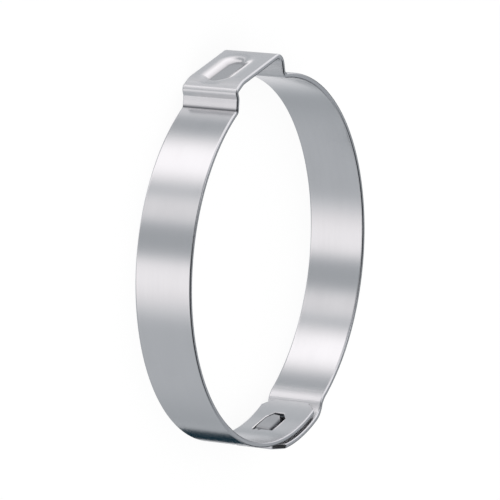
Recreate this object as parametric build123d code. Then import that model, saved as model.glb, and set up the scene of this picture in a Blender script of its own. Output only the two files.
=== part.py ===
"""Single ear hose clamp: one strip of stainless steel, 7 x 0.6 mm, rolled to a 42 mm ring.

Frame: millimetres, +Z is the hose axis, +Y points from the bore centre to the ear, and the
origin is the bore centre at mid width. The strip starts at its inner end in the lock (-Y),
runs clockwise seen from +Z up the -X side, over the ear, down the +X side, steps outward in
the joggle and ends on top of its own first stretch.
"""
from build123d import *
from math import asin, atan2, cos, degrees, hypot, radians, sin
import os

# Strip
bore_radius = 21.0
band_width = 7.0
band_thickness = 0.6
edge_chamfer = 0.12

# Ear, seen from +Z: legs, shoulders and roof, measured on the outside of the strip
ear_half_width = 6.05
ear_height = 1.95
near_foot_outset = 0.15
neck_inset = 0.35
neck_drop = 0.88
knee_inset = 0.25
knee_drop = 0.43
shoulder_slope_run = 2.05
shoulder_slope_rise = 0.47
ear_foot_run = 0.8
ear_crease_radius = 0.35
ear_neck_radius = 0.6
ear_knee_radius = 0.6
ear_brow_radius = 0.42
ear_roof_radius = 3.0
ear_far_shoulder_radius = 1.3
ear_far_foot_radius = 0.8

# Dimple pressed into the roof of the ear
dimple_near_margin = 1.7
dimple_far_margin = 2.1
dimple_width = 3.0
dimple_depth = 0.6
dimple_wall_run = 0.8
dimple_rim_radius = 0.7
dimple_floor_radius = 0.3
dimple_overrun = 0.16

# Lock: arc lengths along the bore, clockwise from -Y
inner_end_arc = -5.2
outer_end_arc = 4.7
joggle_start_arc = -8.1
joggle_end_arc = -4.1
joggle_foot_run = 1.1
joggle_bend_radius = 2.5
layer_gap = 0.4
layer_gap_at_end = 0.16
end_corner = 1.25
end_corner_radius = 0.5

# Window in the inner layer, and the hook lanced from the outer layer that stands in it
window_start_arc = -2.65
window_end_arc = 1.9
window_width = 2.6
window_nose_width = 1.1
window_nose_length = 1.15
window_offset = -0.35
hook_offset = -0.45
hook_end_clearance = 0.3
hook_side_clearance = 0.22
hook_sink = 0.12
hook_ramp_start_arc = 0.3
hook_root_arc = 2.7
hook_ramp_foot_run = 0.5
hook_bend_radius = 0.6
lance_gap = 0.06
nick_width = 0.36
nick_length = 0.4
nick_arcs_across = (-0.3, -1.0)
cut_overrun = 0.1


ring_radius = bore_radius + band_thickness / 2
outer_radius = bore_radius + band_thickness
dimple_length = 2 * ear_half_width - dimple_near_margin - dimple_far_margin
dimple_offset = (dimple_near_margin - dimple_far_margin) / 2


def polar(radius, clockwise_from_lock):
    """Point at a radius and a clockwise angle in degrees from -Y."""
    angle = radians(clockwise_from_lock)
    return Vector(-radius * sin(angle), -radius * cos(angle), 0)


def forward(clockwise_from_lock):
    """Direction in which the strip runs at that angle."""
    angle = radians(clockwise_from_lock)
    return Vector(-cos(angle), sin(angle), 0)


def arc_angle(arc_length):
    """Degrees that an arc length on the bore spans."""
    return degrees(arc_length / bore_radius)


def ring_arc(radius, start, end, centre=Vector(0, 0, 0)):
    """Clockwise arc between two angles from -Y."""
    return CenterArc(centre, radius, -90 - start, start - end)


def step_path(start, start_direction, end, end_direction, foot_run, bend_radius):
    """Two bends that lead from one line of the strip to another."""
    knee = start + start_direction * foot_run
    heel = end - end_direction * foot_run
    return FilletPolyline(start, knee, heel, end, radius=bend_radius)


def foot_angle(leg_centre):
    """Angle from +Y at which the ring leaves its circle for a leg of the ear."""
    reach = hypot(ring_radius, ear_foot_run)
    return degrees(asin(leg_centre / reach) + atan2(ear_foot_run, ring_radius))


def ear_path(start_angle, end_angle):
    """Centreline over the ear, from the ring at one foot to the ring at the other."""
    side = ear_half_width - band_thickness / 2
    roof = outer_radius + ear_height - band_thickness / 2
    brow = roof - shoulder_slope_rise
    start = polar(ring_radius, start_angle)
    end = polar(ring_radius, end_angle)
    left_foot = start + forward(start_angle) * ear_foot_run
    right_foot = end - forward(end_angle) * ear_foot_run
    return FilletPolyline(
        start,
        left_foot,
        (-side + neck_inset, brow - neck_drop),
        (-side + knee_inset, brow - knee_drop),
        (-side + knee_inset, brow),
        (-side + shoulder_slope_run, roof),
        (side, roof),
        right_foot,
        end,
        radius=(
            ear_crease_radius,
            ear_neck_radius,
            ear_knee_radius,
            ear_brow_radius,
            ear_roof_radius,
            ear_far_shoulder_radius,
            ear_far_foot_radius,
        ),
    )


def outer_layer_arc(start_angle, end_angle):
    """Arc of the outer layer, which closes in on the inner layer towards its end."""
    start_radius = ring_radius + band_thickness + layer_gap
    end_radius = ring_radius + band_thickness + layer_gap_at_end
    start = polar(start_radius, start_angle)
    chord = polar(end_radius, end_angle) - start
    inward = start * (-1 / start.length)
    arc_radius = chord.length**2 / (2 * chord.dot(inward))
    centre = start + inward * arc_radius
    turn = 2 * degrees(asin(chord.length / (2 * arc_radius)))
    return ring_arc(arc_radius, start_angle, start_angle + turn, centre)


def strip_section(path):
    """Cross section of the strip, with its slit edges eased, square to the path's start."""
    plane = Plane(origin=path @ 0, x_dir=(0, 0, 1), z_dir=path % 0)
    outline = Rectangle(band_width, band_thickness)
    return plane * chamfer(outline.vertices(), edge_chamfer)


def punch_plane(arc_length):
    """Plane under a spot of the lock: x runs back along the strip, y along +Z, z outwards."""
    angle = arc_angle(arc_length)
    outward = polar(1, angle)
    return Plane(origin=polar(bore_radius, angle), x_dir=forward(angle) * -1, z_dir=outward)


def layer_split():
    """Cylinder between the two layers of the lock."""
    return Cylinder(outer_radius + layer_gap_at_end / 2, 2 * band_width)


def hex_outline(length, width, nose_width, nose_length):
    """Outline with its nose at +X and its straight root edge on the Y axis."""
    half = width / 2
    nose = nose_width / 2
    outline = Polyline(
        (0, -half),
        (length - nose_length, -half),
        (length, -nose),
        (length, nose),
        (length - nose_length, half),
        (0, half),
        close=True,
    )
    return make_face(outline)


def punch(plane, outline):
    """Prism of an outline through both layers of the lock."""
    depth = 2 * band_thickness + layer_gap
    low = plane.offset(-band_thickness)
    return extrude(low * outline, amount=2 * band_thickness + depth)


def window_outline():
    """Window of the inner layer with the two relief nicks beside the root of the hook."""
    length = window_end_arc - window_start_arc
    outline = hex_outline(length, window_width, window_nose_width, window_nose_length)
    for across in nick_arcs_across:
        corners = ((0, across - nick_width / 2), (0, across + nick_width / 2), (-nick_length, across))
        outline += make_face(Polyline(*corners, close=True))
    return outline


def end_waste():
    """What the corner cuts take off the end of the strip: x runs past the end."""
    half = band_width / 2
    tail = 2 * end_corner
    tongue = make_face(
        Polyline(
            (-tail, -half),
            (-end_corner, -half),
            (0, -half + end_corner),
            (0, half - end_corner),
            (-end_corner, half),
            (-tail, half),
            close=True,
        )
    )
    corners = tongue.vertices().filter_by(lambda corner: corner.X > -1.1 * end_corner)
    tongue = fillet(corners, end_corner_radius)
    sheet = Pos(-tail / 2 + 2 * cut_overrun) * Rectangle(tail, 2 * band_width)
    return sheet - tongue


def hook(outer_arc):
    """Hook lanced from the outer layer: a hexagonal tab that steps inwards into the window."""
    length = hook_root_arc - window_start_arc - hook_end_clearance
    nose_radius = bore_radius + hook_sink + band_thickness / 2
    nose_angle = arc_angle(window_start_arc + hook_end_clearance)
    ramp_angle = arc_angle(hook_ramp_start_arc)
    root_share = (hook_root_arc - joggle_end_arc) / (outer_end_arc - joggle_end_arc)
    flat = ring_arc(nose_radius, nose_angle, ramp_angle)
    ramp = step_path(
        flat @ 1, flat % 1, outer_arc @ root_share, outer_arc % root_share, hook_ramp_foot_run, hook_bend_radius
    )
    path = Wire([*flat.edges(), *ramp.edges()])
    section = Plane(origin=path @ 0, x_dir=(0, 0, 1), z_dir=path % 0)
    bar = sweep(section * Rectangle(window_width, band_thickness), path)
    width = window_width - 2 * hook_side_clearance
    nose_width = window_nose_width - hook_side_clearance
    outline = hex_outline(length, width, nose_width, window_nose_length)
    plane = punch_plane(hook_root_arc)
    tab = Pos(0, 0, hook_offset) * bar & punch(plane, Pos(0, hook_offset) * outline)
    slot_length = length - hook_ramp_foot_run + lance_gap
    slot = hex_outline(slot_length, width + 2 * lance_gap, nose_width + lance_gap, window_nose_length)
    slot_plane = punch_plane(hook_root_arc - hook_ramp_foot_run)
    return tab, punch(slot_plane, Pos(0, hook_offset) * slot) - layer_split()


def pressed_slot(rim_height, length, width, overrun, floor_radius):
    """Tapered obround under a plane, carried on past its rim by the overrun."""
    slope = dimple_wall_run / dimple_depth
    plane = Plane(origin=(dimple_offset, rim_height, 0), x_dir=(1, 0, 0), z_dir=(0, 1, 0))
    grow = 2 * slope * overrun
    shrink = 2 * dimple_wall_run
    rim = plane.offset(overrun) * SlotOverall(length + grow, width + grow)
    floor = plane.offset(-dimple_depth) * SlotOverall(length - shrink, width - shrink)
    slot = loft([rim, floor])
    return fillet(slot.edges().group_by(Axis.Y)[0], floor_radius)


def strip_path():
    """Centreline of the strip, and its last arc, which carries the hook."""
    side = ear_half_width - band_thickness / 2
    left_foot = 180 - foot_angle(side + near_foot_outset)
    right_foot = 180 + foot_angle(side)
    joggle_start = 360 + arc_angle(joggle_start_arc)
    joggle_end = 360 + arc_angle(joggle_end_arc)
    near_arc = ring_arc(ring_radius, arc_angle(inner_end_arc - cut_overrun), left_foot)
    ear = ear_path(left_foot, right_foot)
    far_arc = ring_arc(ring_radius, right_foot, joggle_start)
    outer_arc = outer_layer_arc(joggle_end, 360 + arc_angle(outer_end_arc + cut_overrun))
    joggle = step_path(
        far_arc @ 1, far_arc % 1, outer_arc @ 0, outer_arc % 0, joggle_foot_run, joggle_bend_radius
    )
    pieces = (near_arc, ear, far_arc, joggle, outer_arc)
    return Wire([edge for piece in pieces for edge in piece.edges()]), outer_arc


def press_dimple(band):
    """Press the dimple into the roof: a bulge below and the matching recess above."""
    roof = outer_radius + ear_height
    ceiling = roof - band_thickness
    wall_length = hypot(dimple_depth, dimple_wall_run)
    outset = 2 * band_thickness * dimple_wall_run / (dimple_depth + wall_length)
    bulge = pressed_slot(
        ceiling, dimple_length + outset, dimple_width + outset, dimple_overrun, dimple_rim_radius
    )
    domed = band + bulge
    domed = fillet(new_edges(band, bulge, combined=domed), dimple_floor_radius)
    recess = pressed_slot(roof, dimple_length, dimple_width, dimple_overrun, dimple_floor_radius)
    pressed = domed - recess
    return fillet(new_edges(domed, recess, combined=pressed), dimple_rim_radius)


def cut_ends(band):
    """Cut the corners off both ends of the strip."""
    start = punch_plane(inner_end_arc)
    end = punch_plane(outer_end_arc)
    end = Plane(origin=end.origin, x_dir=-end.x_dir, z_dir=end.z_dir)
    band -= punch(start, end_waste()) & layer_split()
    band -= punch(end, end_waste()) - layer_split()
    return band


def clamp_band():
    path, outer_arc = strip_path()
    band = sweep(strip_section(path), path)
    band = press_dimple(band)
    band = cut_ends(band)
    window = Pos(0, window_offset) * window_outline()
    band -= punch(punch_plane(window_end_arc), window) & layer_split()
    tab, lance = hook(outer_arc)
    return band - lance + tab


def main():
    os.makedirs("parts", exist_ok=True)
    band = clamp_band()
    export_step(band, "parts/clamp_band.step")


if __name__ == "__main__":
    main()
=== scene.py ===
"""Looks of the ear hose clamp: the formed steel strip, its finish and the studio around it."""

import math

import bpy
import numpy as np
from bpy.props import FloatProperty, FloatVectorProperty, PointerProperty
from mathutils import Matrix, Vector


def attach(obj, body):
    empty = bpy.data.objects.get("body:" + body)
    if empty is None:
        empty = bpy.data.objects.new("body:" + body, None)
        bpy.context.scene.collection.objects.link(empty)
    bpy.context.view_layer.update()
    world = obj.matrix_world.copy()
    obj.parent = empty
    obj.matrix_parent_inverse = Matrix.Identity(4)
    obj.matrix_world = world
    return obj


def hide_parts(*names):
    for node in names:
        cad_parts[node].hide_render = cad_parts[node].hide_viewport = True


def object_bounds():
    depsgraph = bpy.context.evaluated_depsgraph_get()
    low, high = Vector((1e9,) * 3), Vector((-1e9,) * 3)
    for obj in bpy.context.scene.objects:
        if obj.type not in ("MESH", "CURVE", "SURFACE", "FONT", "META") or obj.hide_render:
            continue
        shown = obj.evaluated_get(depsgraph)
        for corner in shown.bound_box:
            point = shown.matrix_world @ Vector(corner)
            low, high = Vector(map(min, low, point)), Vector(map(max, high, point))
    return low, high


bl_info = {
    "name": "Ear Hose Clamp",
    "version": (1, 0, 0),
    "blender": (4, 5, 0),
    "location": "View3D > Sidebar > Ear Clamp",
    "description": "Forms an ear hose clamp from its flat blank and sets up its studio",
    "category": "Object",
}

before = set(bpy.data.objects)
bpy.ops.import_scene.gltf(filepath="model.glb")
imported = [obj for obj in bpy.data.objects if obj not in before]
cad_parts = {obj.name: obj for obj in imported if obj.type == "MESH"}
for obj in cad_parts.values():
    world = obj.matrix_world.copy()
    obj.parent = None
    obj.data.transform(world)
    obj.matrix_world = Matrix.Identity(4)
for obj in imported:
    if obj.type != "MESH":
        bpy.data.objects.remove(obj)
CAD_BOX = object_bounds()
MM = 0.001


# Sizes and colours that a user would change ------------------------------------------------


def length(name, description, millimetres):
    return FloatProperty(
        name=name, description=description, default=millimetres * MM, unit="LENGTH", precision=5,
    )


class BandSizes(bpy.types.PropertyGroup):
    bore_radius: length("Bore Radius", "Radius of the inner face of the ring", 21.0)
    width: length("Width", "Width of the strip", 7.0)
    thickness: length("Thickness", "Thickness of the strip", 0.6)
    edge_radius: length("Edge Radius", "Rounding of the slit edges", 0.19)
    cut_bevel: length("Cut Bevel", "Softening of the punched edges", 0.09)
    ear_half_width: length("Ear Half Width", "Bore axis to the outside of a leg", 6.05)
    ear_height: length("Ear Height", "Roof of the ear above the ring", 1.95)
    dimple_length: length("Dimple Length", "Length of the dimple at its rim", 7.3)
    dimple_width: length("Dimple Width", "Width of the dimple at its rim", 3.2)
    dimple_depth: length("Dimple Depth", "Depth of the dimple", 0.52)
    window_width: length("Window Width", "Width of the window in the inner layer", 2.6)
    layer_gap: length("Layer Gap", "Gap between the layers of the lock", 0.4)


class SteelFinish(bpy.types.PropertyGroup):
    colour: FloatVectorProperty(
        name="Steel", description="Colour of the bright rolled face", subtype="COLOR",
        size=3, min=0, max=1, default=(0.67, 0.67, 0.68),
    )
    edge_colour: FloatVectorProperty(
        name="Slit Edge", description="Colour of the slit edges", subtype="COLOR",
        size=3, min=0, max=1, default=(0.50, 0.51, 0.53),
    )
    roughness: FloatProperty(
        name="Roughness", description="Roughness of the face", min=0, max=1, default=0.2,
    )
    grain: FloatProperty(
        name="Grain", description="Strength of the rolling grain", min=0, max=1, default=0.05,
    )


class StudioLook(bpy.types.PropertyGroup):
    paper: FloatVectorProperty(
        name="Paper", description="Colour of the floor", subtype="COLOR",
        size=3, min=0, max=1, default=(1.0, 1.0, 1.0),
    )
    focal_length: FloatProperty(
        name="Focal Length", description="Camera lens in millimetres", default=345.6,
    )


# Shader maths as Python expressions --------------------------------------------------------


class Value:
    """A socket that takes part in arithmetic; each operation adds its Math node."""

    def __init__(self, tree, socket):
        self.tree = tree
        self.socket = socket

    def math(self, operation, *others, clamp=False):
        node = self.tree.node("ShaderNodeMath", dict(operation=operation, use_clamp=clamp))
        for slot, operand in zip(node.inputs, (self, *others)):
            self.tree.feed(slot, operand)
        return Value(self.tree, node.outputs[0])

    def __add__(self, other):
        return self.math("ADD", other)

    __radd__ = __add__

    def __mul__(self, other):
        return self.math("MULTIPLY", other)

    __rmul__ = __mul__

    def __sub__(self, other):
        return self.math("SUBTRACT", other)

    def __rsub__(self, other):
        return self * -1 + other

    def __truediv__(self, other):
        return self.math("DIVIDE", other)

    def clamped(self):
        return self.math("ADD", 0.0, clamp=True)

    def ramp(self, low, high):
        """0 below low, 1 above high, straight between."""
        return ((self - low) / (high - low)).clamped()

    def fade(self, low, high):
        """0 at low, 1 at high, with soft ends."""
        return self.tree.value(
            "ShaderNodeMapRange", dict(interpolation_type="SMOOTHSTEP"),
            Value=self, From_Min=low, From_Max=high,
        )


class Tree:
    """Nodes of one material or world; value returns a node's output for arithmetic."""

    def __init__(self, owner):
        owner.use_nodes = True
        self.nodes = owner.node_tree.nodes
        self.links = owner.node_tree.links
        self.nodes.clear()

    def feed(self, socket, value):
        if isinstance(value, Value):
            self.links.new(value.socket, socket)
        elif isinstance(value, bpy.types.NodeSocket):
            self.links.new(value, socket)
        else:
            socket.default_value = value

    def node(self, kind, settings=None, **values):
        made = self.nodes.new(kind)
        for name, setting in (settings or {}).items():
            setattr(made, name, setting)
        for name, value in values.items():
            self.feed(made.inputs[name.replace("_", " ")], value)
        return made

    def value(self, kind, settings=None, output=0, **values):
        return Value(self, self.node(kind, settings, **values).outputs[output])

    def mix_colour(self, mask, under, over):
        mixer = self.node("ShaderNodeMix", dict(data_type="RGBA"))
        self.feed(mixer.inputs["Factor"], mask)
        self.feed(mixer.inputs["A"], under)
        self.feed(mixer.inputs["B"], over)
        return mixer.outputs["Result"]


def rgba(colour):
    return (*colour, 1.0)


# Centreline of the strip -------------------------------------------------------------------

BEND_STEP = math.radians(6)
NO_TURN = 1e-9
SAME_PLACE = 1e-7
MARK_DECIMALS = 9
ANGLE_SAMPLES = 4000
INNER_LAYER = 0
OUTER_LAYER = 1


class Centreline:
    """Runs and bends in the plane across the hose, followed clockwise seen from +Z."""

    def __init__(self, start, heading):
        self.point = Vector(start)
        self.heading = heading
        self.length = 0.0
        self.parts = []

    def add(self, span, turn, step):
        """Go on by a span that turns by an angle; step is the mesh spacing wanted there."""
        x, y = self.point
        self.parts.append((self.length, span, x, y, self.heading, turn, step))
        self.length += span
        x, y, _, _ = self.place(np.array([self.length]))
        self.point = Vector((x[0], y[0]))
        self.heading += turn

    def follow(self, points, radii, steps):
        """Straight runs through the points, with a bend at each inner one."""
        corners = [Vector(point) for point in points]
        spare = 0.0
        for index, radius in enumerate(radii):
            before = corners[index + 1] - corners[index]
            after = corners[index + 2] - corners[index + 1]
            turn = math.atan2(before.cross(after), before.dot(after))
            tangent = radius * math.tan(abs(turn) / 2)
            self.add(before.length - spare - tangent, 0.0, steps[index])
            self.add(radius * abs(turn), turn, radius * BEND_STEP)
            spare = tangent
        self.add((corners[-1] - corners[-2]).length - spare, 0.0, steps[-1])

    def place(self, along):
        """Place and outward direction of points at these lengths along the line."""
        starts = np.array([part[0] for part in self.parts])
        index = np.clip(np.searchsorted(starts, along, side="right") - 1, 0, len(starts) - 1)
        columns = (np.array(column)[index] for column in zip(*self.parts))
        begin, span, x, y, heading, turn, _ = columns
        ahead = along - begin
        straight = np.abs(turn) < NO_TURN
        radius = span / np.where(straight, 1.0, turn)
        angle = heading + turn * ahead / span
        bent_x = radius * (np.sin(angle) - np.sin(heading))
        bent_y = -radius * (np.cos(angle) - np.cos(heading))
        x = x + np.where(straight, ahead * np.cos(heading), bent_x)
        y = y + np.where(straight, ahead * np.sin(heading), bent_y)
        return x, y, -np.sin(angle), np.cos(angle)

    def stations(self, first, last):
        """Lengths at which the flat blank gets a row of vertices."""
        marks = [first]
        for begin, span, *_, step in self.parts:
            count = max(1, math.ceil(span / step))
            marks += [begin + span * share / count for share in range(count + 1)]
        marks.append(last)
        marks = np.unique(np.round(np.array(marks), MARK_DECIMALS))
        marks = marks[(marks >= first) & (marks <= last)]
        return marks[np.concatenate(([True], np.diff(marks) > SAME_PLACE))]

    def at_angle(self, degrees, layer):
        """Length along the line at an angle clockwise from -Y, on the inner or outer layer."""
        marks = np.linspace(0, self.length, ANGLE_SAMPLES)
        x, y, _, _ = self.place(marks)
        angles = np.unwrap(np.arctan2(-x, -y))
        return float(np.interp(math.radians(degrees + 360 * layer), angles, marks))


def polar(radius, angle):
    """Point at a radius and a clockwise angle from -Y."""
    return Vector((-radius * math.sin(angle), -radius * math.cos(angle)))


def forward(angle):
    """Direction in which the strip runs round the ring at a clockwise angle from -Y."""
    return Vector((-math.cos(angle), math.sin(angle)))


def sheet_angle(arc, sizes):
    """Angle in degrees that a length of arc at the bore makes."""
    return math.degrees(arc / sizes.bore_radius)


# The strip climbs the ear by its near foot, neck, knee, brow and shoulder to the roof, and comes
# down by its far shoulder and far foot. Arcs are lengths at the bore from the middle of the lock.
RING_STEP = 0.5 * MM
ROOF_STEP = 0.1 * MM
FOOT_STEP = 0.3 * MM
CREASE_RADIUS = 0.35 * MM
NECK_RADIUS = 0.6 * MM
KNEE_RADIUS = 0.6 * MM
BROW_RADIUS = 0.42 * MM
ROOF_RADIUS = 3.0 * MM
FAR_SHOULDER_RADIUS = 1.3 * MM
FAR_FOOT_RADIUS = 0.8 * MM
EAR_FOOT_RUN = 0.8 * MM
SHOULDER_RISE = 0.47 * MM
SHOULDER_RUN = 1.87 * MM
NEAR_FOOT_OUTSET = 0.15 * MM
NECK_INSET = 0.35 * MM
NECK_DROP = 0.88 * MM
KNEE_INSET = 0.25 * MM
KNEE_DROP = 0.43 * MM
INNER_END_ARC = -5.2 * MM
OUTER_END_ARC = 4.7 * MM
JOGGLE_START_ARC = -7.1 * MM
JOGGLE_END_ARC = -4.1 * MM
JOGGLE_FOOT_RUN = 1.1 * MM
JOGGLE_BEND_RADII = (3.2 * MM, 2.5 * MM)
GAP_AT_END = 0.16 * MM
BLANK_OVERRUN = 0.4 * MM


def roof_height(sizes):
    """Distance of the middle of the ear's roof from the bore axis."""
    return sizes.bore_radius + sizes.thickness / 2 + sizes.ear_height


def strip_line(sizes):
    """Centreline from the inner end of the strip, over the ear, to its outer end."""
    radius = sizes.bore_radius + sizes.thickness / 2
    side = sizes.ear_half_width - sizes.thickness / 2
    roof = roof_height(sizes)
    brow = roof - SHOULDER_RISE
    reach = math.hypot(radius, EAR_FOOT_RUN)
    lead = math.atan2(EAR_FOOT_RUN, radius)
    near_foot = math.pi - math.asin((side + NEAR_FOOT_OUTSET) / reach) - lead
    far_foot = math.pi + math.asin(side / reach) + lead
    start = INNER_END_ARC / sizes.bore_radius
    line = Centreline(polar(radius, start), math.pi - start)
    line.add(radius * (near_foot - start), start - near_foot, RING_STEP)
    left = polar(radius, near_foot)
    right = polar(radius, far_foot)
    line.follow(
        (
            left,
            left + forward(near_foot) * EAR_FOOT_RUN,
            (-side + NECK_INSET, brow - NECK_DROP),
            (-side + KNEE_INSET, brow - KNEE_DROP),
            (-side + KNEE_INSET, brow),
            (-side + SHOULDER_RUN, roof),
            (side, roof),
            right - forward(far_foot) * EAR_FOOT_RUN,
            right,
        ),
        (CREASE_RADIUS, NECK_RADIUS, KNEE_RADIUS, BROW_RADIUS, ROOF_RADIUS, FAR_SHOULDER_RADIUS,
         FAR_FOOT_RADIUS),
        (FOOT_STEP, FOOT_STEP, FOOT_STEP, ROOF_STEP, ROOF_STEP, ROOF_STEP, FOOT_STEP, FOOT_STEP),
    )
    joggle_start = 2 * math.pi + JOGGLE_START_ARC / sizes.bore_radius
    joggle_end = 2 * math.pi + JOGGLE_END_ARC / sizes.bore_radius
    line.add(radius * (joggle_start - far_foot), far_foot - joggle_start, RING_STEP)

    high = radius + sizes.thickness + sizes.layer_gap
    low = radius + sizes.thickness + GAP_AT_END
    heel = polar(high, joggle_end)
    chord = polar(low, 2 * math.pi + OUTER_END_ARC / sizes.bore_radius) - heel
    arc_radius = chord.length_squared / (2 * chord.dot(-heel.normalized()))
    knee = polar(radius, joggle_start)
    line.follow(
        (
            knee,
            knee + forward(joggle_start) * JOGGLE_FOOT_RUN,
            heel - forward(joggle_end) * JOGGLE_FOOT_RUN,
            heel,
        ),
        JOGGLE_BEND_RADII,
        (FOOT_STEP, FOOT_STEP, FOOT_STEP),
    )
    turn = 2 * math.asin(chord.length / (2 * arc_radius))
    line.add(arc_radius * turn, -turn, FOOT_STEP)
    return line


# The flat blank: x runs along the strip, y along the hose axis, z away from the bore ---------

FINE_HALF_WIDTH = 2.6 * MM
FINE_STEP = 0.09 * MM
COARSE_STEP = 0.3 * MM
EDGE_SEGMENTS = 3
BEVEL_ANGLES = (0.0, 35.0, 70.0)
PUNCH_REACH = 0.3 * MM


def deselect():
    for item in bpy.context.selected_objects:
        item.select_set(False)


def activate(piece):
    deselect()
    piece.select_set(True)
    bpy.context.view_layer.objects.active = piece


def flat_blank(sizes, line):
    """Rectangular strip with rounded slit edges and a row of vertices at each station."""
    rows = line.stations(-BLANK_OVERRUN, line.length + BLANK_OVERRUN)
    half = sizes.width / 2
    coarse = math.ceil((half - FINE_HALF_WIDTH) / COARSE_STEP)
    fine = math.ceil(2 * FINE_HALF_WIDTH / FINE_STEP)
    outer = np.linspace(FINE_HALF_WIDTH, half, coarse + 1)[1:]
    inner = np.linspace(-FINE_HALF_WIDTH, FINE_HALF_WIDTH, fine + 1)
    columns = np.concatenate((-outer[::-1], inner, outer))
    deselect()
    bpy.ops.mesh.primitive_grid_add(
        x_subdivisions=len(rows) - 1, y_subdivisions=len(columns) - 1, size=2
    )
    blank = bpy.context.object
    blank.name = "steel_band"
    places = np.empty(len(blank.data.vertices) * 3)
    blank.data.vertices.foreach_get("co", places)
    places = places.reshape(-1, 3)
    row = np.rint((places[:, 0] + 1) / 2 * (len(rows) - 1)).astype(int)
    column = np.rint((places[:, 1] + 1) / 2 * (len(columns) - 1)).astype(int)
    places[:, 0] = rows[row]
    places[:, 1] = columns[column]
    blank.data.vertices.foreach_set("co", places.ravel())
    solidify = blank.modifiers.new("Thickness", "SOLIDIFY")
    solidify.thickness = sizes.thickness
    solidify.offset = 0.0
    bpy.ops.object.modifier_apply(modifier=solidify.name)

    mesh = blank.data
    bpy.ops.object.mode_set(mode="EDIT")
    bpy.ops.mesh.select_all(action="DESELECT")
    bpy.ops.mesh.select_mode(type="EDGE")
    bpy.ops.object.mode_set(mode="OBJECT")
    # The four long edges, where the strip was slit from its sheet
    for edge in mesh.edges:
        one, two = (mesh.vertices[index].co for index in edge.vertices)
        at_side = min(abs(one.y), abs(two.y)) > half - SAME_PLACE
        edge.select = at_side and abs(one.z - two.z) < SAME_PLACE
    bpy.ops.object.mode_set(mode="EDIT")
    bpy.ops.mesh.bevel(
        offset=sizes.edge_radius, segments=EDGE_SEGMENTS, affect="EDGES", clamp_overlap=False
    )
    bpy.ops.object.mode_set(mode="OBJECT")
    return blank


def offset_outline(outline, amount):
    """Closed counter-clockwise outline, moved outwards with its corners kept."""
    moved = []
    for index, corner in enumerate(outline):
        before = (corner - outline[index - 1]).normalized()
        after = (outline[(index + 1) % len(outline)] - corner).normalized()
        out_before = Vector((before.y, -before.x))
        out_after = Vector((after.y, -after.x))
        middle = (out_before + out_after).normalized()
        moved.append(corner + middle * (amount / middle.dot(out_after)))
    return moved


def punch_tool(outline, sizes):
    """Prism through the strip that flares at both faces, so that its cut has soft edges."""
    bevel = sizes.cut_bevel
    half = sizes.thickness / 2
    levels = []
    for degrees in BEVEL_ANGLES:
        angle = math.radians(degrees)
        levels.append((half - bevel + bevel * math.sin(angle), bevel * (1 - math.cos(angle))))
    levels.append((half + PUNCH_REACH, bevel + PUNCH_REACH / 2))
    levels = [(-height, grow) for height, grow in reversed(levels)] + levels
    count = len(outline)
    points = []
    faces = [range(count)[::-1], range((len(levels) - 1) * count, len(levels) * count)]
    for level, (height, grow) in enumerate(levels):
        points += [(corner.x, corner.y, height) for corner in offset_outline(outline, grow)]
        if level:
            low, high = (level - 1) * count, level * count
            for one in range(count):
                two = (one + 1) % count
                faces.append((low + one, low + two, high + two, high + one))
    mesh = bpy.data.meshes.new("punch")
    mesh.from_pydata(points, [], faces)
    tool = bpy.data.objects.new("punch", mesh)
    bpy.context.collection.objects.link(tool)
    return tool


def cut(blank, outline, sizes):
    """Punch an outline out of the blank."""
    tool = punch_tool(outline, sizes)
    activate(blank)
    boolean = blank.modifiers.new("Punch", "BOOLEAN")
    boolean.operation = "DIFFERENCE"
    boolean.object = tool
    boolean.solver = "EXACT"
    bpy.ops.object.modifier_apply(modifier=boolean.name)
    bpy.data.objects.remove(tool)


# Lock features of the flat blank -----------------------------------------------------------

# Offsets and widths are across the strip; clearances are between the hook and its window
END_CORNER = 1.25 * MM
END_CORNER_RADIUS = 0.5 * MM
END_WASTE = 3.0 * MM
WINDOW_START_ARC = -2.65 * MM
WINDOW_END_ARC = 1.9 * MM
WINDOW_OFFSET = -0.35 * MM
HOOK_OFFSET = -0.6 * MM
NOSE_WIDTH = 1.1 * MM
NOSE_LENGTH = 1.15 * MM
NICK_WIDTH = 0.36 * MM
NICK_LENGTH = 0.4 * MM
NICKS_ACROSS = (-0.3 * MM, -1.0 * MM)
HOOK_END_CLEARANCE = 0.3 * MM
HOOK_SIDE_CLEARANCE = 0.3 * MM
HOOK_SINK = 0.12 * MM
HOOK_RAMP_ARC = 0.9 * MM
HOOK_TILT = 0.1
HOOK_ROOT_ARC = 2.7 * MM
LANCE_KERF = 0.14 * MM
CORNER_STEPS = 4


def rounded_corner(before, corner, after, radius):
    """Points of a bend that replaces a corner."""
    one = (before - corner).normalized()
    two = (after - corner).normalized()
    half = one.angle(two) / 2
    run = radius / math.tan(half)
    centre = corner + (one + two).normalized() * (radius / math.sin(half))
    first = corner + one * run - centre
    last = corner + two * run - centre
    points = []
    for step in range(CORNER_STEPS + 1):
        spoke = first.lerp(last, step / CORNER_STEPS).normalized() * radius
        points.append(centre + spoke)
    return points


def turned(outline):
    """The outline counter-clockwise."""
    area = sum(a.cross(b) for a, b in zip(outline, outline[1:] + outline[:1]))
    return outline if area > 0 else outline[::-1]


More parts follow.
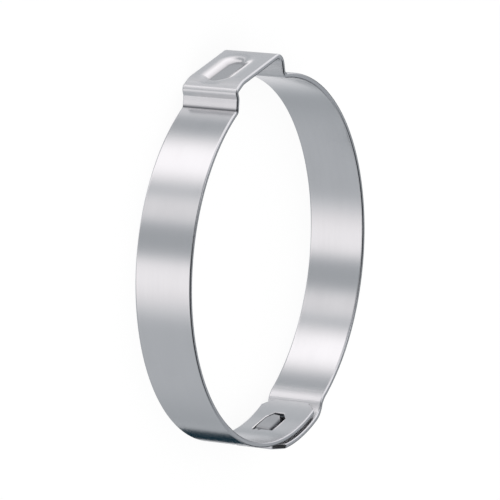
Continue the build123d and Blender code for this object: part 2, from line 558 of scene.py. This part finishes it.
def end_waste(end, direction, width):
    """What is cut off beyond one end of the strip, to leave it with two cut corners."""
    half = width / 2
    tongue = [
        Vector((-END_CORNER, -half)), Vector((0, -half + END_CORNER)),
        Vector((0, half - END_CORNER)), Vector((-END_CORNER, half)),
    ]
    corners = [Vector((-END_WASTE, -half)), *tongue, Vector((-END_WASTE, half))]
    points = []
    for before, corner, after in zip(corners, corners[1:], corners[2:]):
        points += rounded_corner(before, corner, after, END_CORNER_RADIUS)
    side = half + END_WASTE
    first = Vector((points[0].x, -side))
    last = Vector((points[-1].x, side))
    points = [first, *points, last, Vector((END_WASTE, side)), Vector((END_WASTE, -side))]
    return turned([Vector((end + direction * point.x, point.y)) for point in points])


def hexagon(root, nose, width, nose_width, offset):
    """Hexagonal outline between a straight root edge and a narrower nose."""
    way = math.copysign(1, nose - root)
    half = width / 2
    shoulder = nose - way * NOSE_LENGTH
    points = [
        (root, -half), (shoulder, -half), (nose, -nose_width / 2),
        (nose, nose_width / 2), (shoulder, half), (root, half),
    ]
    return [Vector((x, y + offset)) for x, y in points]


def window_outline(start, end, width):
    """Window of the inner layer, with two nicks in its root edge."""
    points = hexagon(end, start, width, NOSE_WIDTH, WINDOW_OFFSET)
    for across in NICKS_ACROSS:
        middle = WINDOW_OFFSET + across
        points += [
            Vector((end, middle + NICK_WIDTH / 2)), Vector((end + NICK_LENGTH, middle)),
            Vector((end, middle - NICK_WIDTH / 2)),
        ]
    return turned(points)


def hook_root(line, sizes):
    """Length along the line at which the tab leaves the outer layer."""
    return line.at_angle(sheet_angle(HOOK_ROOT_ARC, sizes), OUTER_LAYER)


def hook_outline(line, sizes, grow=0.0):
    """Outline of the tab in the outer layer."""
    nose_angle = sheet_angle(WINDOW_START_ARC + HOOK_END_CLEARANCE, sizes)
    nose = line.at_angle(nose_angle, OUTER_LAYER) - grow
    width = sizes.window_width - 2 * HOOK_SIDE_CLEARANCE + 2 * grow
    nose_width = NOSE_WIDTH - HOOK_SIDE_CLEARANCE + grow
    return hexagon(hook_root(line, sizes), nose, width, nose_width, HOOK_OFFSET)


def lance_outline(line, sizes):
    """Thin cut that frees the tab on all sides but its root."""
    inner = hook_outline(line, sizes)
    outer = hook_outline(line, sizes, grow=LANCE_KERF)
    return turned(outer + inner[::-1])


def inside(outline, x, y):
    """Which points lie inside an outline."""
    within = np.zeros(len(x), bool)
    for one, two in zip(outline, outline[1:] + outline[:1]):
        if one.y == two.y:
            continue
        spans = (one.y > y) != (two.y > y)
        within ^= spans & (x < one.x + (y - one.y) * (two.x - one.x) / (two.y - one.y))
    return within


def soft_step(share):
    """0 at 0, 1 at 1, with soft ends."""
    share = np.clip(share, 0.0, 1.0)
    return share * share * (3 - 2 * share)


def on_tab(flat, line, sizes):
    """Which points of the blank belong to the tab."""
    return inside(hook_outline(line, sizes, grow=LANCE_KERF / 2), flat[:, 0], flat[:, 1])


def press_hook(flat, line, sizes):
    """How far each point of the blank moves inwards to form the hook."""
    x, y, _, _ = line.place(flat[:, 0])
    nose_radius = sizes.bore_radius + HOOK_SINK + sizes.thickness / 2
    root = hook_root(line, sizes)
    low = line.at_angle(sheet_angle(HOOK_RAMP_ARC, sizes), OUTER_LAYER)
    share = soft_step((root - flat[:, 0]) / (root - low))
    tilt = HOOK_TILT * (flat[:, 1] - HOOK_OFFSET)
    sink = share * (np.hypot(x, y) - nose_radius - tilt)
    return np.where(on_tab(flat, line, sizes), sink, 0.0)


# Dimple ------------------------------------------------------------------------------------

DIMPLE_MIDDLE = -0.4 * MM
DIMPLE_OFFSET = -0.5 * MM
DIMPLE_CORNER = 1.5 * MM
FAR_END_STRETCH = 1.15
DIMPLE_WALL_RUN = 0.66 * MM
DIMPLE_RIM_RADIUS = 1.6 * MM
DIMPLE_FLOOR_RADIUS = 0.3 * MM
DRAW_IN = 0.07 * MM
DRAW_RUN = 1.1 * MM


def pressed_depth(inward, depth, rim_radius, floor_radius):
    """Depth below a face at a distance inwards from the rim of a dimple."""
    slope = math.atan2(depth, DIMPLE_WALL_RUN)
    rim_run = rim_radius * math.tan(slope / 2)
    floor_run = floor_radius * math.tan(slope / 2)
    wall = np.clip(inward, 0, DIMPLE_WALL_RUN) * math.tan(slope)
    over_rim = np.clip(inward + rim_run, 0, rim_radius)
    rim = rim_radius - np.sqrt(rim_radius**2 - over_rim**2)
    to_floor = np.clip(DIMPLE_WALL_RUN + floor_run - inward, 0, floor_radius)
    floor = depth - floor_radius + np.sqrt(floor_radius**2 - to_floor**2)
    on_rim = inward < rim_run * math.cos(slope)
    on_floor = inward > DIMPLE_WALL_RUN - floor_run * math.cos(slope)
    return np.where(on_rim, rim, np.where(on_floor, floor, wall))


def dimple_inward(flat, line, sizes):
    """Distance of each point inwards from the rim of the dimple."""
    angle = math.atan2(-DIMPLE_MIDDLE, -roof_height(sizes))
    middle = line.at_angle(math.degrees(angle), INNER_LAYER)
    ahead = flat[:, 0] - middle
    from_end = sizes.dimple_length / 2 - np.abs(ahead)
    from_end = from_end / np.where(ahead > 0, FAR_END_STRETCH, 1.0)
    from_side = sizes.dimple_width / 2 - np.abs(flat[:, 1] - DIMPLE_OFFSET)
    return DIMPLE_CORNER - np.hypot(
        np.maximum(DIMPLE_CORNER - from_end, 0.0), np.maximum(DIMPLE_CORNER - from_side, 0.0)
    )


def press_dimple(flat, line, sizes):
    """How far each point of the blank moves inwards to form the dimple."""
    inward = dimple_inward(flat, line, sizes)
    wall = math.hypot(sizes.dimple_depth, DIMPLE_WALL_RUN)
    outset = sizes.thickness * DIMPLE_WALL_RUN / (sizes.dimple_depth + wall)
    depth, rim, floor = sizes.dimple_depth, DIMPLE_RIM_RADIUS, DIMPLE_FLOOR_RADIUS
    above = pressed_depth(inward, depth, rim, floor)
    below = pressed_depth(inward + outset, depth, floor, rim)
    share = flat[:, 2] / sizes.thickness + 0.5
    drawn = DRAW_IN * soft_step(inward / DRAW_RUN + 1)
    return drawn + below + (above - below) * share


# Painted shade and bend wear, as values on the mesh that its material reads ---------------------

CREASE_PART = 2
# How far and how strongly the painted shade reaches in each crevice
CREASE_SHADE_REACH = 0.27 * MM
DIMPLE_FLOOR_SHADE = 0.3
DIMPLE_FOOT_SHADE = 0.2
DIMPLE_EDGE_REACH = 0.12 * MM
HOOK_TAB_SHADE = 0.3
HOOK_SIDE_REACH = 0.4 * MM
HOOK_ROOT_REACH = 1.85 * MM
HOOK_SHADE_REACH = 0.9 * MM
DULL_BEND_RADIUS = 3.5 * MM
BEND_FADE = 0.5 * MM


def near(distance, reach):
    """1 at no distance, falling off like a bell."""
    return np.exp(-np.square(distance / reach))


def plateau(distance, reach):
    """1 for most of the reach, then falling off fast."""
    return np.exp(-((distance / reach) ** 4))


def painted_crevice_shade(flat, line, sizes):
    """Painted shade in the crevices: the foot of the near leg, the dimple and around the hook."""
    along, across, height = flat.T
    crease = line.parts[CREASE_PART][0] + line.parts[CREASE_PART][1] / 2
    # Painted shade in the crease at the foot of the near leg
    painted_shade = plateau(along - crease, CREASE_SHADE_REACH) * (height > 0)

    # Painted shade on the dimple's floor, darkest along the foot of its wall
    inward = dimple_inward(flat, line, sizes)
    floor = DIMPLE_FLOOR_SHADE * soft_step(inward / DIMPLE_WALL_RUN)
    floor += DIMPLE_FOOT_SHADE * near(inward - DIMPLE_WALL_RUN, DIMPLE_EDGE_REACH)
    painted_shade = np.maximum(painted_shade, floor * (height > 0))

    # Painted shade on the sunk tab, darkest by its near side and its root
    tab = on_tab(flat, line, sizes)
    side = HOOK_OFFSET + sizes.window_width / 2 - HOOK_SIDE_CLEARANCE
    at_root = plateau(along - hook_root(line, sizes), HOOK_ROOT_REACH)
    deep = np.maximum(near(across - side, HOOK_SIDE_REACH), at_root)
    below_face = tab & (height < sizes.thickness / 2 - sizes.cut_bevel)
    painted_shade = np.maximum(painted_shade, np.where(below_face, np.maximum(deep, HOOK_TAB_SHADE), 0.0))

    # Painted shade on the inside of the outer layer, which only the window shows
    around = inside(hook_outline(line, sizes, grow=HOOK_SHADE_REACH), along, across)
    around |= (at_root > 0.5) & (np.abs(across - HOOK_OFFSET) < sizes.window_width / 2)
    return np.maximum(painted_shade, np.where(around & ~tab & (height < 0), 1.0, 0.0))


def bend_dullness(flat, line):
    """Where a tight bend has stretched the bright face and left it duller."""
    dull = np.zeros(len(flat))
    for begin, span, _, _, _, turn, _ in line.parts:
        if turn and span / abs(turn) < DULL_BEND_RADIUS:
            away = np.abs(flat[:, 0] - begin - span / 2) - span / 2
            dull = np.maximum(dull, 1 - soft_step(away / BEND_FADE))
    return dull


# The formed band ---------------------------------------------------------------------------

SMOOTH_ANGLE = math.radians(40)


def store(mesh, name, kind, field, values):
    """Keep a value of each vertex on the mesh."""
    mesh.attributes.new(name, kind, "POINT").data.foreach_set(field, values.ravel())


def form(blank, line, sizes):
    """Press the hook and the dimple, then bend the blank along its centreline."""
    mesh = blank.data
    flat = np.empty(len(mesh.vertices) * 3)
    mesh.vertices.foreach_get("co", flat)
    flat = flat.reshape(-1, 3)
    store(mesh, "flat", "FLOAT_VECTOR", "vector", flat)
    height = flat[:, 2] - press_hook(flat, line, sizes) - press_dimple(flat, line, sizes)
    x, y, outward_x, outward_y = line.place(flat[:, 0])
    formed = np.stack((x + outward_x * height, y + outward_y * height, flat[:, 1]), axis=1)
    mesh.vertices.foreach_set("co", formed.ravel())
    # Painted shade in the crevices, for the material to darken
    store(mesh, "painted_shade", "FLOAT", "value", painted_crevice_shade(flat, line, sizes))
    store(mesh, "dull", "FLOAT", "value", bend_dullness(flat, line))
    mesh.flip_normals()
    mesh.update()


def make_band(sizes):
    """Cut a blank to the centreline's length, punch it and form it."""
    line = strip_line(sizes)
    blank = flat_blank(sizes, line)
    cut(blank, end_waste(0.0, -1, sizes.width), sizes)
    cut(blank, end_waste(line.length, 1, sizes.width), sizes)
    start = line.at_angle(sheet_angle(WINDOW_START_ARC, sizes), INNER_LAYER)
    end = line.at_angle(sheet_angle(WINDOW_END_ARC, sizes), INNER_LAYER)
    cut(blank, window_outline(start, end, sizes.window_width), sizes)
    cut(blank, lance_outline(line, sizes), sizes)
    form(blank, line, sizes)
    activate(blank)
    bpy.ops.object.shade_smooth_by_angle(angle=SMOOTH_ANGLE)
    deselect()
    return blank


# Steel -------------------------------------------------------------------------------------

# Near-black of the painted shade in the crevices, and how fully it covers
CREVICE_SHADE_COLOUR = (0.03, 0.035, 0.045, 1.0)
CREVICE_SHADE_COVER = 0.9
# Waves of noise per metre along and across the strip, and their detail
FINE_GRAIN = (400.0, 14000.0, 2.0)
BROAD_GRAIN = (90.0, 2600.0, 3.0)
STAINS = (170.0, 260.0, 3.0)
GRAIN_ROUGHNESS = 0.6
FINE_SHARE = 0.6
BUMP_HEIGHT = 0.01 * MM
# Distances in millimetres from a rolled face or a side between which cut metal fades in or out
PUNCHED_FADE = (0.07, 0.13)
SLIT_FADE = (0.08, 0.18)
WORN_TONE = 0.9
# Noise at which wear begins and is full, and how strong it is there
BROAD_WEAR = (0.35, 0.7, 0.15)
STAIN_WEAR = (0.5, 0.75, 0.25)
# How much rougher than the bright face: with the grain, in stains and on tight bends
FINE_MATT = 0.05
STAIN_MATT = 0.06
BEND_MATT = 0.16
EDGE_ROUGHNESS = 0.24


def steel_material(finish, sizes):
    """Bright rolled strip: fine grain along it, stains, duller bends and cut edges, and painted
    shade in its crevices.
    """
    material = bpy.data.materials.new("band_steel")
    tree = Tree(material)
    flat = tree.node("ShaderNodeAttribute", dict(attribute_name="flat")).outputs["Vector"]
    parts = tree.node("ShaderNodeSeparateXYZ", Vector=flat)
    across = Value(tree, parts.outputs["Y"])
    height = Value(tree, parts.outputs["Z"])
    painted_shade = tree.value("ShaderNodeAttribute", dict(attribute_name="painted_shade"), output="Fac")
    dull = tree.value("ShaderNodeAttribute", dict(attribute_name="dull"), output="Fac")

    def noise(lengthwise, crosswise, detail):
        scale = (lengthwise, crosswise, crosswise)
        scaled = tree.node("ShaderNodeMapping", Vector=flat, Scale=scale)
        return tree.value(
            "ShaderNodeTexNoise", Vector=scaled.outputs[0], Scale=1.0, Detail=detail,
            Roughness=GRAIN_ROUGHNESS,
        )

    fine = noise(*FINE_GRAIN)
    broad = noise(*BROAD_GRAIN)
    stain = noise(*STAINS)
    from_face = (sizes.thickness / 2 - height.math("ABSOLUTE")) / MM
    from_side = (sizes.width / 2 - across.math("ABSOLUTE")) / MM
    punched = from_face.ramp(*PUNCHED_FADE)
    slit = 1 - from_side.ramp(*SLIT_FADE)
    edge = punched.math("MAXIMUM", slit)

    bright = rgba(finish.colour)
    worn = rgba(component * WORN_TONE for component in finish.colour)
    colour = bright
    for marks, (low, high, strength) in ((broad, BROAD_WEAR), (stain, STAIN_WEAR)):
        colour = tree.mix_colour(marks.ramp(low, high) * strength, colour, worn)
    colour = tree.mix_colour(edge, colour, rgba(finish.edge_colour))
    # Painted shade in the crevices
    colour = tree.mix_colour(painted_shade * CREVICE_SHADE_COVER, colour, CREVICE_SHADE_COLOUR)

    roughness = finish.roughness + (fine - 0.5) * FINE_MATT + (stain - 0.5) * STAIN_MATT
    roughness = roughness + dull * BEND_MATT
    roughness = roughness * (1 - edge) + edge * EDGE_ROUGHNESS
    bump = tree.node(
        "ShaderNodeBump", Strength=finish.grain, Distance=BUMP_HEIGHT,
        Height=fine * FINE_SHARE + broad * (1 - FINE_SHARE),
    )
    shader = tree.node(
        "ShaderNodeBsdfPrincipled", Base_Color=colour, Roughness=roughness, Metallic=1.0,
        Normal=bump.outputs[0],
    )
    tree.node("ShaderNodeOutputMaterial", Surface=shader.outputs[0])
    return material


# Studio ------------------------------------------------------------------------------------

WHITE = (1.0, 1.0, 1.0, 1.0)
FLOOR_SIZE = 1.2
PAPER_GLOW = 0.88
# Near-black of the dark card, a painted reflection of shade
REFLECTED_SHADE_COLOUR = (0.0, 0.02, 0.035, 1.0)
DARK_CARD_ENDS = ((-7.0 * MM, -33.8 * MM), (2.5 * MM, -30.4 * MM))
DARK_CARD_BELOW_FLOOR = (13.0 * MM, 0.5 * MM)
SOFTBOX_PLACE = Vector((-0.25, -0.1, 0.6))
SOFTBOX_SIZE = 0.5
SOFTBOX_POWER = 1.6
SENSOR_WIDTH = 36.0
CLIP_START = 0.01
CLIP_END = 10.0
CAMERA_PLACE = Vector((-444.1, 207.4, 254.7)) * MM
CAMERA_AXES = (
    (0.45857, -0.10390, 0.88257),
    (0.37799, 0.92163, -0.08789),
    (-0.80426, 0.37391, 0.46190),
)

# The room round the part, by bearing and rise in degrees as the steel mirrors it
SOFT_LIGHT = 0.8
ROOM_LIGHT = 0.5
# Upright cards: bearing, half width, how softly each fades before and after it, its light
CARDS = (
    (98.0, 6.0, 18.0, 18.0, 1.5),
    (131.0, 4.0, 11.0, 8.0, 1.05),
    (170.5, 4.0, 11.0, 36.0, 1.25),
    (225.0, 15.0, 45.0, 45.0, 0.62),
    (326.0, 10.0, 35.0, 12.0, 0.88),
    (357.0, 3.0, 9.0, 10.0, 0.78),
    (25.0, 6.0, 10.0, 10.0, 0.7),
    (47.0, 5.0, 8.0, 6.0, 0.66),
    (58.0, 3.0, 7.0, 6.0, 0.98),
)
# A dark screen above the cards, mirrored by the rounding of the slit edges
SCREEN_LIGHT = 0.06
SCREEN_RISE = (-22.0, -12.0)
SCREEN_BEARING = -25.0
SCREEN_REACH = (36.0, 54.0)
# A grey ceiling, mirrored by the flat of the slit edges, and a dark hole overhead
CEILING_LIGHT = 0.7
CEILING_RISE = (10.0, 25.0)
OVERHEAD_SHADE = 0.96
OVERHEAD_RISE = (33.0, 46.0)
# A pale card near the floor, mirrored by faces that lean down a little
LOW_CARD_LIGHT = 1.3
LOW_CARD_RISE = (-30.5, -34.5)
LOW_CARD_BEARING = 7.0
LOW_CARD_REACH = (8.0, 17.0)
# A bright card from the row upwards, mirrored by faces that lean up a little
TOP_CARD_LIGHT = 1.5
TOP_CARD_RISE = (-25.0, 0.0)
TOP_CARD_BEARING = 45.0
TOP_CARD_REACH = (30.0, 60.0)
TINT_FADE = (0.5, 1.1)
CARD_TINT = (1.0, 0.975, 0.99, 1.0)
SHADE_TINT = (0.93, 0.98, 1.03, 1.0)


def turn_from(bearing, centre):
    """Signed angle in degrees from a centre to a bearing."""
    return (bearing - centre).math("WRAP", 180.0, -180.0)


def facing(bearing, centre, reach):
    """1 near a bearing, fading to 0 over the reach given as its start and end."""
    return 1 - turn_from(bearing, centre).math("ABSOLUTE").fade(*reach)


def blend(light, mask, other):
    """Light where the mask is 0, other where it is 1."""
    return light * (1 - mask) + mask * other


def upright_cards(bearing):
    """Light of the row of upright cards in a dim room."""
    light = None
    for centre, half_width, before, after, strength in CARDS:
        away = turn_from(bearing, centre)
        card = away.fade(-half_width - before, -half_width)
        card = card * (1 - away.fade(half_width, half_width + after)) * (strength - ROOM_LIGHT)
        light = card if light is None else light.math("MAXIMUM", card)
    return light + ROOM_LIGHT


def mixed_shader(tree, mask, under, over):
    """Shader node under where the mask is 0, over where it is 1."""
    mixer = tree.node("ShaderNodeMixShader", Fac=mask)
    tree.feed(mixer.inputs[1], under.outputs[0])
    tree.feed(mixer.inputs[2], over.outputs[0])
    return mixer


def studio_world():
    """White to the camera, even soft light on the part, and a room of cards in its gloss."""
    world = bpy.data.worlds.new("studio")
    bpy.context.scene.world = world
    tree = Tree(world)
    way = tree.node("ShaderNodeTexCoord").outputs["Generated"]
    parts = tree.node("ShaderNodeSeparateXYZ", Vector=way)
    across, ahead, up = (Value(tree, parts.outputs[axis]) for axis in "XYZ")
    bearing = ahead.math("ARCTAN2", across) * (180 / math.pi)
    rise = up.math("ARCSINE") * (180 / math.pi)
    light = upright_cards(bearing)
    screen = rise.fade(*SCREEN_RISE) * facing(bearing, SCREEN_BEARING, SCREEN_REACH)
    light = blend(light, screen, SCREEN_LIGHT)
    light = blend(light, rise.fade(*CEILING_RISE), CEILING_LIGHT)
    light = light * (1 - rise.fade(*OVERHEAD_RISE) * OVERHEAD_SHADE)
    low = rise.fade(*LOW_CARD_RISE) * facing(bearing, LOW_CARD_BEARING, LOW_CARD_REACH)
    light = blend(light, low, LOW_CARD_LIGHT)
    top = rise.fade(*TOP_CARD_RISE) * facing(bearing, TOP_CARD_BEARING, TOP_CARD_REACH)
    light = blend(light, top, TOP_CARD_LIGHT)
    tint = tree.mix_colour(light.ramp(*TINT_FADE), SHADE_TINT, CARD_TINT)
    rays = tree.node("ShaderNodeLightPath")
    paper = tree.node("ShaderNodeBackground", Color=WHITE, Strength=1.0)
    cards = tree.node("ShaderNodeBackground", Color=tint, Strength=light)
    soft = tree.node("ShaderNodeBackground", Color=WHITE, Strength=SOFT_LIGHT)
    on_part = mixed_shader(tree, rays.outputs["Is Glossy Ray"], soft, cards)
    seen = mixed_shader(tree, rays.outputs["Is Camera Ray"], on_part, paper)
    tree.node("ShaderNodeOutputWorld", Surface=seen.outputs[0])


def paper_floor(look):
    """White paper, mostly glowing, so that the part's shadow on it stays faint."""
    deselect()
    bpy.ops.mesh.primitive_plane_add(size=FLOOR_SIZE, location=(0, 0, CAD_BOX[0][2]))
    bpy.ops.object.transform_apply(location=True, rotation=True, scale=True)
    floor = bpy.context.object
    floor.name = "floor"
    floor.visible_glossy = False
    material = bpy.data.materials.new("paper")
    tree = Tree(material)
    lit = tree.node("ShaderNodeBsdfDiffuse", Color=rgba(look.paper))
    glow = tree.node("ShaderNodeEmission", Color=WHITE, Strength=1.0)
    paper = mixed_shader(tree, PAPER_GLOW, lit, glow)
    tree.node("ShaderNodeOutputMaterial", Surface=paper.outputs[0])
    floor.data.materials.append(material)


def dark_card():
    """Near-black glowing card below the paper, seen only in the gloss of the lock, where it
    paints a dark reflection that stands for shade under the clamp.
    """
    low, high = (CAD_BOX[0][2] - drop for drop in DARK_CARD_BELOW_FLOOR)
    (x0, y0), (x1, y1) = DARK_CARD_ENDS
    corners = [(x0, y0, low), (x1, y1, low), (x1, y1, high), (x0, y0, high)]
    mesh = bpy.data.meshes.new("dark_card")
    mesh.from_pydata(corners, [], [(0, 1, 2, 3)])
    card = bpy.data.objects.new("dark_card", mesh)
    bpy.context.collection.objects.link(card)
    for kind in ("camera", "diffuse", "shadow", "transmission", "volume_scatter"):
        setattr(card, f"visible_{kind}", False)
    material = bpy.data.materials.new("reflected_shade")
    tree = Tree(material)
    reflected_shade = tree.node("ShaderNodeEmission", Color=REFLECTED_SHADE_COLOUR, Strength=1.0)
    tree.node("ShaderNodeOutputMaterial", Surface=reflected_shade.outputs[0])
    mesh.materials.append(material)


def soft_lamp():
    """Large soft lamp overhead, which throws the faint shadow and stays out of the gloss."""
    data = bpy.data.lights.new("softbox", "AREA")
    data.shape = "SQUARE"
    data.size = SOFTBOX_SIZE
    data.energy = SOFTBOX_POWER
    lamp = bpy.data.objects.new("softbox", data)
    bpy.context.collection.objects.link(lamp)
    lamp.location = SOFTBOX_PLACE
    lamp.rotation_euler = SOFTBOX_PLACE.to_track_quat("Z", "Y").to_euler()
    lamp.visible_glossy = False


def camera(look):
    """Long lens that looks down on the clamp from one side of its ear."""
    data = bpy.data.cameras.new("camera")
    data.sensor_width = SENSOR_WIDTH
    data.lens = look.focal_length
    data.clip_start = CLIP_START
    data.clip_end = CLIP_END
    view = bpy.data.objects.new("camera", data)
    bpy.context.collection.objects.link(view)
    turn = Matrix(CAMERA_AXES).transposed().to_4x4()
    view.matrix_world = Matrix.Translation(CAMERA_PLACE) @ turn
    bpy.context.scene.camera = view


# Operators and panel -----------------------------------------------------------------------


class CLAMP_OT_band(bpy.types.Operator):
    """Cut the strip flat, press its hook and dimple and roll it into the clamp"""

    bl_idname = "clamp.band"
    bl_label = "Form Band"
    bl_options = {"REGISTER", "UNDO"}

    def execute(self, context):
        scene = context.scene
        band = make_band(scene.clamp_band_sizes)
        band.data.materials.clear()
        band.data.materials.append(steel_material(scene.clamp_finish, scene.clamp_band_sizes))
        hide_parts("clamp_band")
        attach(band, "root")
        return {"FINISHED"}


class CLAMP_OT_studio(bpy.types.Operator):
    """Set up the white floor, the soft light, the cards and the camera"""

    bl_idname = "clamp.studio"
    bl_label = "Set Up Studio"
    bl_options = {"REGISTER", "UNDO"}

    def execute(self, context):
        look = context.scene.clamp_studio
        context.scene.view_settings.view_transform = "Standard"
        studio_world()
        paper_floor(look)
        dark_card()
        soft_lamp()
        camera(look)
        return {"FINISHED"}


class CLAMP_PT_panel(bpy.types.Panel):
    bl_label = "Ear Hose Clamp"
    bl_space_type = "VIEW_3D"
    bl_region_type = "UI"
    bl_category = "Ear Clamp"

    def draw(self, context):
        scene = context.scene
        for group in (scene.clamp_band_sizes, scene.clamp_finish):
            for name in group.bl_rna.properties.keys():
                if name not in {"rna_type", "name"}:
                    self.layout.prop(group, name)
        self.layout.operator("clamp.band")
        for name in ("paper", "focal_length"):
            self.layout.prop(scene.clamp_studio, name)
        self.layout.operator("clamp.studio")


CLASSES = (BandSizes, SteelFinish, StudioLook, CLAMP_OT_band, CLAMP_OT_studio, CLAMP_PT_panel)


def register():
    for item in CLASSES:
        bpy.utils.register_class(item)
    bpy.types.Scene.clamp_band_sizes = PointerProperty(type=BandSizes)
    bpy.types.Scene.clamp_finish = PointerProperty(type=SteelFinish)
    bpy.types.Scene.clamp_studio = PointerProperty(type=StudioLook)


def unregister():
    del bpy.types.Scene.clamp_studio
    del bpy.types.Scene.clamp_finish
    del bpy.types.Scene.clamp_band_sizes
    for item in reversed(CLASSES):
        bpy.utils.unregister_class(item)


def main():
    register()
    bpy.ops.clamp.band()
    bpy.ops.clamp.studio()


if __name__ == "__main__":
    main()
